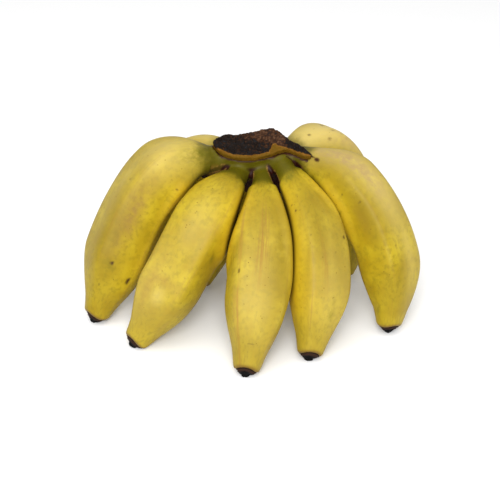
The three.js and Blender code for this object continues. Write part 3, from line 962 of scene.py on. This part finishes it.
class PeelColours(bpy.types.PropertyGroup):
    """The colours of the peels and of the crown's skin."""
    ripe: colour("Ripe", "A8931A", "Most of the peel")
    deep: colour("Deep", "8C750E", "Patches of deeper yellow")
    mottle: colour("Mottle", "7E6E11", "Small olive mottles")
    fibre: colour("Fibre", "97770F", "Lines that run along a finger")
    # Painted fill light: a lighter ochre that lifts the shade on the sides facing other fingers.
    ochre_fill_light: colour("Ochre", "D2AC22", "Sides that face the other fingers")
    # Pale patches: bleached peel and painted sheen.
    pale_and_sheen: colour("Pale", "C9B468", "Where the peel has bleached")
    bruise: colour("Bruise", "8A6C34", "Soft brown bruises")
    graze: colour("Graze", "A4895A", "Dull grazes")
    streak: colour("Streak", "987032", "Brown streaks along the fibres")
    green: colour("Green Spot", "6A6412", "Spots that stayed green")
    neck: colour("Neck", "3C3702", "Green of the crown and the necks")
    neck_light: colour("Light Neck", "5A5403", "Lighter green of the crown and the necks")
    # Painted shade: darker, browner yellow on shaded sides and near the ends of fingers.
    painted_shade: colour("Dull", "7A6610", "Where the yellow is browner and darker")
    # Painted shade with rub brown: olive-brown on a neck's flank and in a fold between two necks.
    flank_brown_and_shade: colour("Dry Leaf", "4E4010", "Where a dried leaf stuck between two necks")
    speck: colour("Speck", "745A14", "Specks where the peel breathes")
    end: colour("End", "6E5418", "Peel next to the dried flower")
    # Painted shade with rub stain: maroon in the creases where fingers touch, dark in the hollows between the
    # necks.
    rub_and_shade: colour("Rub", "280C06", "Where fingers rub, and hollows between the necks")
    # Tan border of the painted shade in the hollows.
    rim: colour("Rim", "9A7434", "Borders of the hollows")
    scar: colour("Scar", "3A2010", "Scars and torn edges")


class StalkColours(bpy.types.PropertyGroup):
    """The colours of the cut stalk."""
    char: colour("Charcoal", "130C08", "Most of the dried cut")
    rust: colour("Rust", "38200F", "Ridges of the dried cut")
    # Painted highlight on the highest fibres.
    brown_glint: colour("Ember", "5C4230", "Highest fibres of the dried cut")
    # Painted reflection: grey glints in flecks on the dried cut.
    grey_glint: colour("Ash", "22252A", "Grey bloom on the dried cut")
    flesh: colour("Flesh", "664602", "Side of the slice")
    flesh_dark: colour("Dark Flesh", "463808", "Stains on the side of the slice")
    flesh_edge: colour("Flesh Edge", "A06C22", "Border between the cut and its side")


class FlowerColours(bpy.types.PropertyGroup):
    """The colours of the dried flowers."""
    lip: colour("Lip", "1A0806", "Edge next to the peel")
    ring: colour("Ring", "3A2418", "Ring inside the lip")
    core: colour("Core", "080606", "Shrivelled middle")


class FingerSizes(bpy.types.PropertyGroup):
    """How the peels are shaped."""
    rings: IntProperty(name="Rings", description="Rings of points along a finger", default=230, min=40)
    sides: IntProperty(name="Sides", description="Points round a finger", default=112, min=24)
    edge_height: FloatProperty(
        name="Edge Height", description="How far the lengthwise edges stand up, in mm", default=0.3, min=0)
    unevenness: FloatProperty(
        name="Unevenness", description="Height of the soft hills of the peel, in mm", default=0.4, min=0)
    end_rounding: FloatProperty(
        name="End Rounding", description="Length over which the blunt end is rounded, in mm", default=1.6,
        min=0.1)
    press_gap: FloatProperty(
        name="Press Gap", description="Least gap left between neighbouring fingers, in mm", default=0.25,
        min=0)
    press_softness: FloatProperty(
        name="Press Softness", description="Rounding where a pressed side begins, in mm", default=1.0,
        min=0.05)


class CrownSizes(bpy.types.PropertyGroup):
    """How the crown is shaped."""
    cell: FloatProperty(name="Cell", description="Size of the crown's mesh, in mm", default=0.8, min=0.3)
    collar: FloatProperty(
        name="Collar", description="How far the crown's skin covers the necks, in mm", default=0.35, min=0)
    web_from: FloatProperty(
        name="Web End", description="Share of a finger's length where the web between the necks ends",
        default=0.035, min=0, max=0.2)


class StalkSizes(bpy.types.PropertyGroup):
    """How the cut stalk is shaped."""
    cell: FloatProperty(name="Cell", description="Size of the stalk's mesh, in mm", default=0.35, min=0.2)
    roughness: FloatProperty(
        name="Roughness", description="Height of the torn fibres, in mm", default=0.8, min=0)


class FlowerSizes(bpy.types.PropertyGroup):
    """How the dried flowers are shaped."""
    sides: IntProperty(name="Sides", description="Points round a flower", default=64, min=16)
    raggedness: FloatProperty(
        name="Raggedness", description="Height of the shrivelled folds, in mm", default=0.7, min=0)


class StageSettings(bpy.types.PropertyGroup):
    """The floor and the lights."""
    floor: FloatVectorProperty(
        name="Floor", description="Colour of the floor", subtype="COLOR", default=(0.93, 0.93, 0.93), min=0,
        max=1)
    daylight: FloatProperty(
        name="Daylight", description="Strength of the light all round", default=0.68, min=0)
    lamp: FloatProperty(
        name="Lamp", description="Power that each lamp has a share of, in watts", default=10.6, min=0)


class BANANAS_OT_peels(bpy.types.Operator):
    """Make the nine fingers' peels"""
    bl_idname = "bananas.peels"
    bl_label = "Peels"

    def execute(self, context):
        sizes = context.scene.banana_fingers
        material = banana_peel(context.scene.banana_peel_colours)
        turn = np.linspace(0, 2 * np.pi, sizes.sides, endpoint=False)
        for name, finger in fingers.items():
            shares = np.linspace(PEEL_FROM, finger.peel_end, sizes.rings)
            points, apart = skin_of(finger, shares, turn, sizes)
            low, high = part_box("finger_" + name)
            middle = (np.array(low) + np.array(high)) / 2 / MM
            if np.abs((points.reshape(-1, 3).min(0) + points.reshape(-1, 3).max(0)) / 2 - middle).max() > 4:
                raise ValueError(f"finger {name} isn't where its solid is")
            s, angle = (part.ravel() for part in np.meshgrid(shares, turn, indexing="ij"))
            values = looks_of(finger, s, angle, apart.ravel(), points.reshape(-1, 3))
            straight = finger.pattern_place(s, angle)
            ends = [shares[0], shares[-1]]
            centre = finger.places(np.array(ends))[0]
            tips = finger.pattern_place(np.array(ends), 0.0)
            attributes = {key: np.append(value, [value[0], value[-1]]) for key, value in values.items()}
            attributes["straight"] = np.vstack([straight, tips])
            piece = make_mesh(
                "peel_" + name, np.vstack(
                    [points.reshape(-1, 3), centre]), tube_faces(sizes.rings, sizes.sides),
                attributes, material)
            settle(piece, "peel", "finger_" + name)
        return {"FINISHED"}


class BANANAS_OT_crown(bpy.types.Operator):
    """Make the crown that the fingers grow from"""
    bl_idname = "bananas.crown"
    bl_label = "Crown"

    def execute(self, context):
        sizes = context.scene.banana_crown
        low, high = np.full(3, 1e9), np.full(3, -1e9)
        for finger in fingers.values():
            s = np.linspace(0, NECK_END, 9)
            centre, wide = finger.places(s)[0], finger.radius(s)[:, None] * 1.1 + 2
            low, high = np.minimum(low, (centre - wide).min(0)), np.maximum(high, (centre + wide).max(0))
        outline = off_slice(np.column_stack([stalk_outline(), np.zeros(len(stalk_outline()))]))
        low = np.minimum(low, outline.min(0) - 2)
        high = np.maximum(high, outline.max(0) + 2)
        grid = grid_over(low, high, sizes.cell)
        points, faces = skin_over(crown_field(grid, sizes), low, sizes.cell)
        depths, shares, turns = (np.array(part) for part in zip(*(
            neck_field(finger, points, sizes) for finger in fingers.values())))
        own = depths.argmin(0)
        whole = whole_fields(points)
        height = on_slice(points)[:, 2]
        first, second = np.sort(whole, axis=0)[:2]
        # Painted shade: deep in the crown, between the necks and on the webs behind them, the skin is painted
        # dark maroon.
        inside = smooth((depths.min(0) - 0.6) / 1.2) * smooth((-height - PEDESTAL_DEPTH + 1.5) / 2)
        between = smooth((first - 0.2) / 0.4) * smooth((3.8 - second) / 1) * smooth((-height - 3.2) / 1)
        inside = np.maximum(inside, between) * smooth((FOOTPRINT[1] + 2 - points[:, 1]) / 3)
        attributes = {"straight": points.copy()}
        for number, finger in enumerate(fingers.values()):
            mine = own == number
            s, angle = shares[number, mine], turns[number, mine]
            others = np.delete(whole, number, axis=0)[:, mine].min(0)
            for key, value in looks_of(finger, s, angle, others, points[mine]).items():
                attributes.setdefault(key, np.zeros(len(points)))[mine] = value
            grown = smooth((s - 0.05) / 0.04)[:, None]
            lie = finger.pattern_place(s, angle)
            attributes["straight"][mine] = np.where(grown > 0.5, lie, points[mine])
        low_on_wall = smooth((-height - 3.5) / 2)
        attributes["rub_and_shade"] = np.maximum(attributes["rub_and_shade"] * low_on_wall, inside)
        attributes["rim"] = attributes["rim"] * low_on_wall * (1 - inside)
        attributes["rub_and_shade"] = np.maximum(attributes["rub_and_shade"], fold_marks(points, "rub_and_shade"))
        # The olive-brown fold between the first two necks is painted shade with rub brown, with a tan rim.
        attributes["flank_brown_and_shade"] = np.maximum(attributes["flank_brown_and_shade"], fold_marks(points, "flank_brown_and_shade"))
        attributes["rim"] = np.maximum(attributes["rim"], 2.4 * attributes["flank_brown_and_shade"] * (1 - attributes["flank_brown_and_shade"]))
        from_slice = inside_outline(on_slice(points)[:, :2])
        by_slice = smooth((height + JOINT_GAP + 0.9) / 0.4) * smooth((0.9 - from_slice) / 0.5)
        attributes["scar"] = np.maximum(attributes["scar"], by_slice)
        piece = make_mesh("crown_skin", points, faces, attributes, bpy.data.materials["ripe banana peel"])
        settle(piece, "green_peel", "crown")
        return {"FINISHED"}


class BANANAS_OT_stalk(bpy.types.Operator):
    """Make the dried slice of the bunch's stalk on top of the crown"""
    bl_idname = "bananas.stalk"
    bl_label = "Cut Stalk"

    def execute(self, context):
        sizes = context.scene.banana_stalk
        line = stalk_outline()
        low = np.append(line.min(0) - 2, -1.5)
        high = np.append(line.max(0) + 2, STALK_THICKNESS + 3)
        grid = grid_over(low, high, sizes.cell)
        wall = inside_outline(grid[..., :2])
        height = grid[..., 2]
        hills = 0.6 * unevenness(grid, 7, 1) + 0.7 * (torn_fibres(grid) - 0.7)
        torn_at = bare_patch(grid)
        top = STALK_THICKNESS - 0.8 + sizes.roughness * hills * (1 - 0.8 * torn_at) - 1.0 * torn_at
        wall = wall + 0.3 + 0.25 * unevenness(grid, 3, 4) + 0.2 * unevenness(grid, 1.3, 5)
        crust = smooth((height - 2.6) / 0.5) * (1 - torn_at)
        wall = wall - 0.35 * crust
        field = np.maximum(-melt(-(height - top), -wall, 0.9), -height)
        places, faces = skin_over(field, low, sizes.cell)
        u, v = places[:, 0], places[:, 1]
        below = 2.7 - 2.6 * smooth((u - 17) / 4) - places[:, 2] + 0.6 * unevenness(places, 2.0, 6)
        flesh = np.maximum(smooth(below / 0.4), bare_patch(places))
        brown = smooth(
            (v + 0.4 * u + 4 * unevenness(places, 5, 9) + 1) / 10) * (1 - 0.95 * smooth((u - 19) / 3))
        attributes = {
            "flesh": flesh, "raised": np.clip(torn_fibres(places) / 1.6, 0, 1), "brown": brown,
            "rim": np.exp(-((flesh - 0.5) / 0.3) ** 2)}
        material = dried_stalk(context.scene.banana_stalk_colours)
        piece = make_mesh("cut_stalk_face", off_slice(places), faces, attributes, material)
        settle(piece, "dried_stalk", "cut_stalk")
        return {"FINISHED"}


class BANANAS_OT_flowers(bpy.types.Operator):
    """Make the dried flower at the end of each finger"""
    bl_idname = "bananas.flowers"
    bl_label = "Dried Flowers"

    def execute(self, context):
        sizes = context.scene.banana_flowers
        material = dried_flower(context.scene.banana_flower_colours)
        profile = np.array(FLOWER_PROFILE)
        turn = np.linspace(0, 2 * np.pi, sizes.sides, endpoint=False)
        steps = np.linspace(0, len(profile) - 1, 40)
        radius = np.interp(steps, np.arange(len(profile)), profile[:, 0])[:, None]
        height = np.interp(steps, np.arange(len(profile)), profile[:, 1])[:, None]
        for number, (name, finger) in enumerate(fingers.items()):
            centre, along, outer, side = finger.places(np.array([finger.peel_end]))
            ray = outer * np.cos(turn)[:, None] + side * np.sin(turn)[:, None]
            lie = np.stack(np.broadcast_arrays(3 * np.cos(turn), 3 * np.sin(turn), height), axis=-1)
            torn = unevenness(lie, 1.4, 40 + number) + 0.5 * unevenness(lie, 0.7, 60 + number)
            ragged = sizes.raggedness * smooth((height - 0.6) / 2)
            around = radius * (1 + 0.03 * np.cos(5 * turn + number)) + ragged * torn
            share = height / FLOWER_TOP
            lift = arch(turn) * (1 - share) + FLOWER_REACH * share
            lift = lift + 0.5 * ragged * unevenness(lie[..., ::-1], 1.8, 80 + number)
            points = centre + ray * around[..., None] + along * lift[..., None]
            points[..., 2] = np.maximum(points[..., 2], 0.0)
            ends = [centre[0] + 0.4 * along[0], centre[0] + 6.2 * along[0]]
            ends[1][2] = max(ends[1][2], 0.0)
            depth = np.broadcast_to(np.clip((height + 0.5) / 5.4, 0, 1), around.shape).ravel()
            piece = make_mesh(
                "dried_flower_cap_" + name, np.vstack([points.reshape(-1, 3), ends]),
                tube_faces(len(steps), sizes.sides), {"depth": np.append(depth, [0, 1])}, material)
            settle(piece, "dried_flower", "dried_flower_" + name)
        return {"FINISHED"}


class BANANAS_OT_stage(bpy.types.Operator):
    """Make the floor, the lights and the camera"""
    bl_idname = "bananas.stage"
    bl_label = "Stage"

    def execute(self, context):
        settings = context.scene.banana_stage
        mesh = bpy.data.meshes.new("floor")
        mesh.from_pydata([(-3, -3, 0), (3, -3, 0), (3, 3, 0), (-3, 3, 0)], [], [(0, 1, 2, 3)])
        mesh.materials.append(painted_floor(settings.floor))
        floor = bpy.data.objects.new("floor", mesh)
        context.scene.collection.objects.link(floor)
        world = bpy.data.worlds.new("studio")
        world.use_nodes = True
        world.node_tree.nodes["Background"].inputs["Strength"].default_value = settings.daylight
        world.node_tree.nodes["Background"].inputs["Color"].default_value = (1, 1, 1, 1)
        context.scene.world = world
        for name, place, aim, width, share in (
                ("soft lamp above", (-0.1, -0.3, 1.1), (0, 0, 0.04), 0.9, 0.5),
                ("soft lamp in front", (-0.1, -1.2, 0.8), (0, 0, 0.05), 0.7, 1.7)):
            lamp = bpy.data.lights.new(name, "AREA")
            lamp.size, lamp.energy = width, settings.lamp * share
            light = bpy.data.objects.new(name, lamp)
            light.location = place
            light.rotation_euler = (Vector(aim) - Vector(place)).to_track_quat("-Z", "Y").to_euler()
            context.scene.collection.objects.link(light)
        camera = bpy.data.objects.new("camera", bpy.data.cameras.new("camera"))
        camera.data.lens, camera.data.sensor_width = LENS, SENSOR
        aim = (np.array(CAMERA_AIM) + FOOTPRINT) * MM
        height = np.radians(CAMERA_HEIGHT)
        back = np.array([0.0, -np.cos(height), np.sin(height)])
        camera.location = aim + CAMERA_DISTANCE * MM * back
        camera.rotation_euler = Vector(-back).to_track_quat("-Z", "Y").to_euler()
        context.scene.collection.objects.link(camera)
        context.scene.camera = camera
        context.scene.view_settings.view_transform = "Standard"
        return {"FINISHED"}


class BANANAS_PT_hand(bpy.types.Panel):
    """The hand of bananas in the sidebar"""
    bl_label = "Apple Banana Hand"
    bl_idname = "BANANAS_PT_hand"
    bl_space_type = "VIEW_3D"
    bl_region_type = "UI"
    bl_category = "Bananas"

    def draw(self, context):
        for operator, label, groups in STEPS:
            box = self.layout.box()
            box.operator(operator.bl_idname, text=label)
            for group in groups:
                for key in group.__annotations__:
                    box.prop(getattr(context.scene, SETTINGS[group]), key)


STEPS = (
    (BANANAS_OT_peels, "Peels", (FingerSizes, PeelColours)), (BANANAS_OT_crown, "Crown", (CrownSizes,)),
    (BANANAS_OT_stalk, "Cut Stalk", (StalkSizes, StalkColours)),
    (BANANAS_OT_flowers, "Dried Flowers", (FlowerSizes, FlowerColours)),
    (BANANAS_OT_stage, "Stage", (StageSettings,)))
SETTINGS = {
    FingerSizes: "banana_fingers", CrownSizes: "banana_crown", StalkSizes: "banana_stalk",
    FlowerSizes: "banana_flowers", StageSettings: "banana_stage", PeelColours: "banana_peel_colours",
    StalkColours: "banana_stalk_colours", FlowerColours: "banana_flower_colours"}
CLASSES = (*SETTINGS, *(operator for operator, _, _ in STEPS), BANANAS_PT_hand)


def register():
    for cls in CLASSES:
        bpy.utils.register_class(cls)
    for cls, name in SETTINGS.items():
        setattr(bpy.types.Scene, name, PointerProperty(type=cls))


def unregister():
    for name in SETTINGS.values():
        delattr(bpy.types.Scene, name)
    for cls in reversed(CLASSES):
        bpy.utils.unregister_class(cls)


def main():
    register()
    bpy.ops.bananas.peels()
    bpy.ops.bananas.crown()
    bpy.ops.bananas.stalk()
    bpy.ops.bananas.flowers()
    bpy.ops.bananas.stage()


if __name__ == "__main__":
    main()
